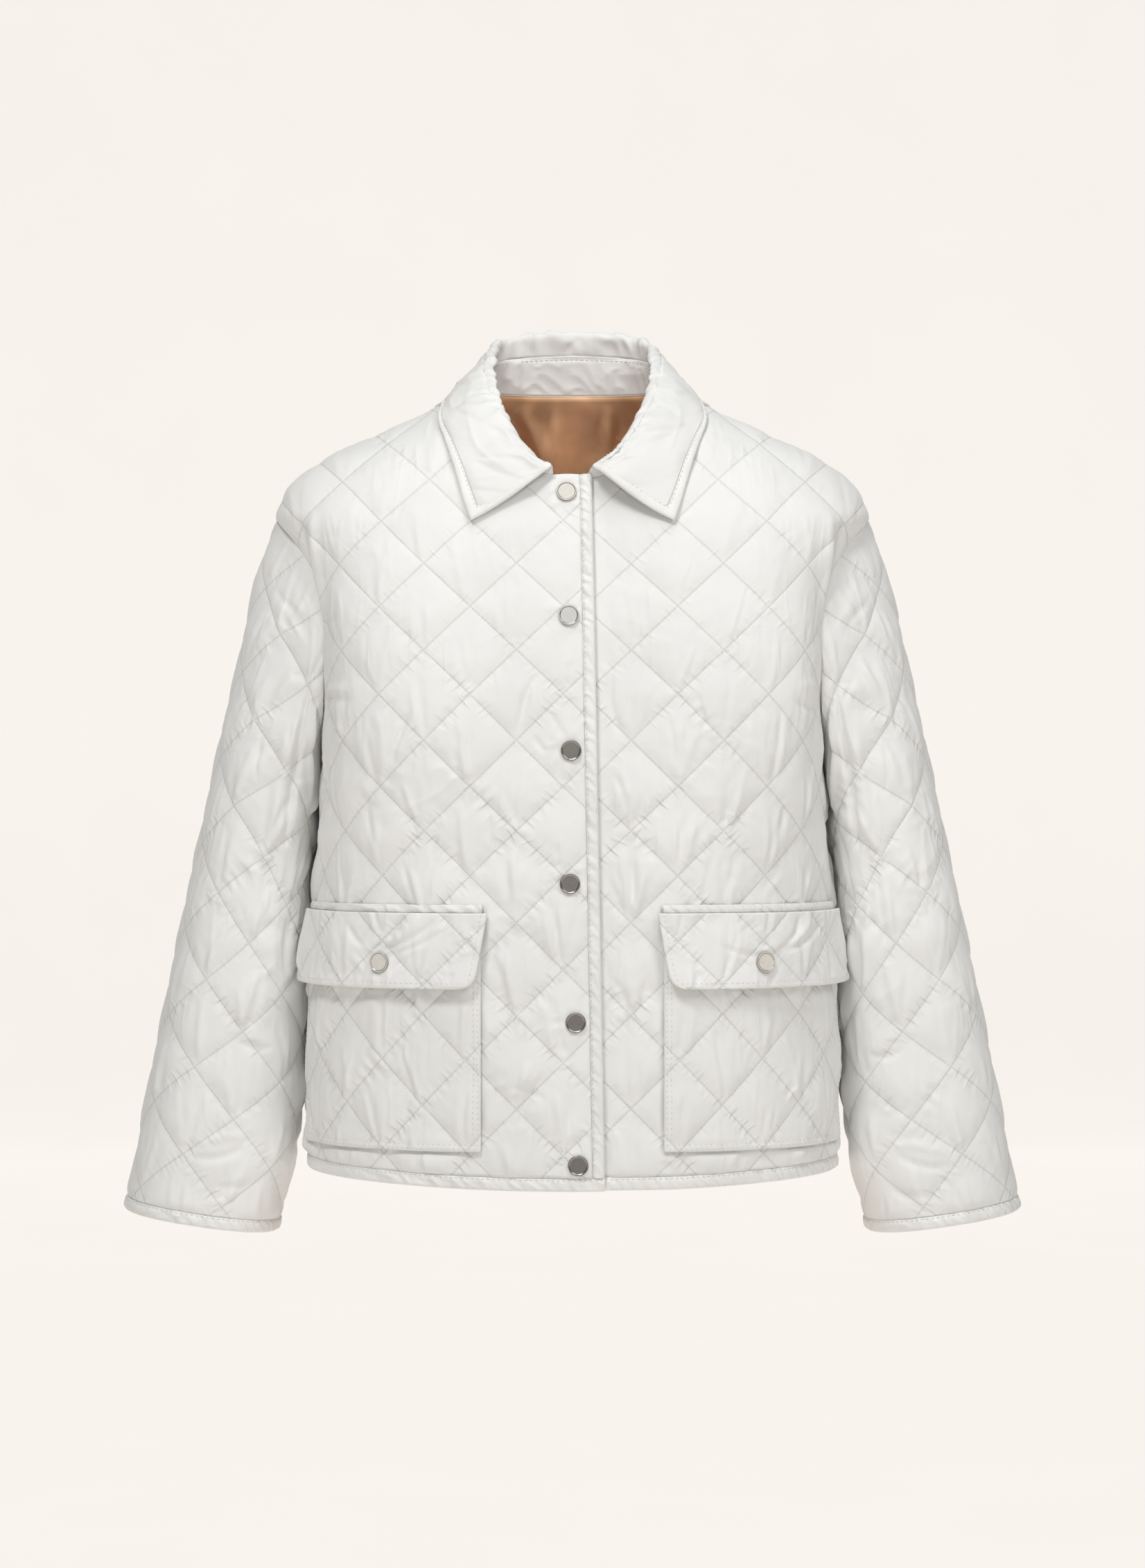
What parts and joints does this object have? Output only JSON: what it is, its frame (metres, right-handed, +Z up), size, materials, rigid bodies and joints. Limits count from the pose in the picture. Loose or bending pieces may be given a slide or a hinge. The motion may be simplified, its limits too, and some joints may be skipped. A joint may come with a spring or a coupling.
{
  "type": "quilted jacket, shown filled out with no wearer",
  "caption": "Boxy diamond-quilted jacket with a point collar, snap front, flapped patch pockets and bound edges, hollow as if worn.",
  "frame": {"origin": "midway between the two high shoulder points, where the wearer's shoulders carry the jacket", "axes": "+Z up, the wearer faces -Y, +X towards the wearer's left"},
  "size_m": [0.6908, 0.2619, 0.6992],
  "materials": {
    "quilted_shell": "off-white plain-weave shell, diamond quilted over thin wadding, soft sheen",
    "plain_trim": "off-white self-fabric binding, edge stitched",
    "satin_lining": "caramel satin, smooth with a soft gloss",
    "pale_snap": "pale pearl-silver press-stud cap",
    "grey_snap": "brushed grey press-stud cap"
  },
  "bodies": {
    "root": {"front_right": "quilted_shell", "front_left": "quilted_shell", "back": "quilted_shell", "sleeve_right": "quilted_shell", "sleeve_left": "quilted_shell", "collar_stand": "quilted_shell", "collar_fall": "quilted_shell", "pocket_right": "quilted_shell", "pocket_left": "quilted_shell", "flap_right": "quilted_shell", "flap_left": "quilted_shell", "collar_binding": "plain_trim", "placket_binding": "plain_trim", "hem_binding": "plain_trim", "cuff_binding_right": "plain_trim", "cuff_binding_left": "plain_trim", "flap_strip_right": "plain_trim", "flap_strip_left": "plain_trim", "back_lining": "satin_lining", "snap_1": "pale_snap", "snap_2": "pale_snap", "flap_snap_right": "pale_snap", "flap_snap_left": "pale_snap", "snap_3": "grey_snap", "snap_4": "grey_snap", "snap_5": "grey_snap", "snap_6": "grey_snap"}
  },
  "joints": []
}
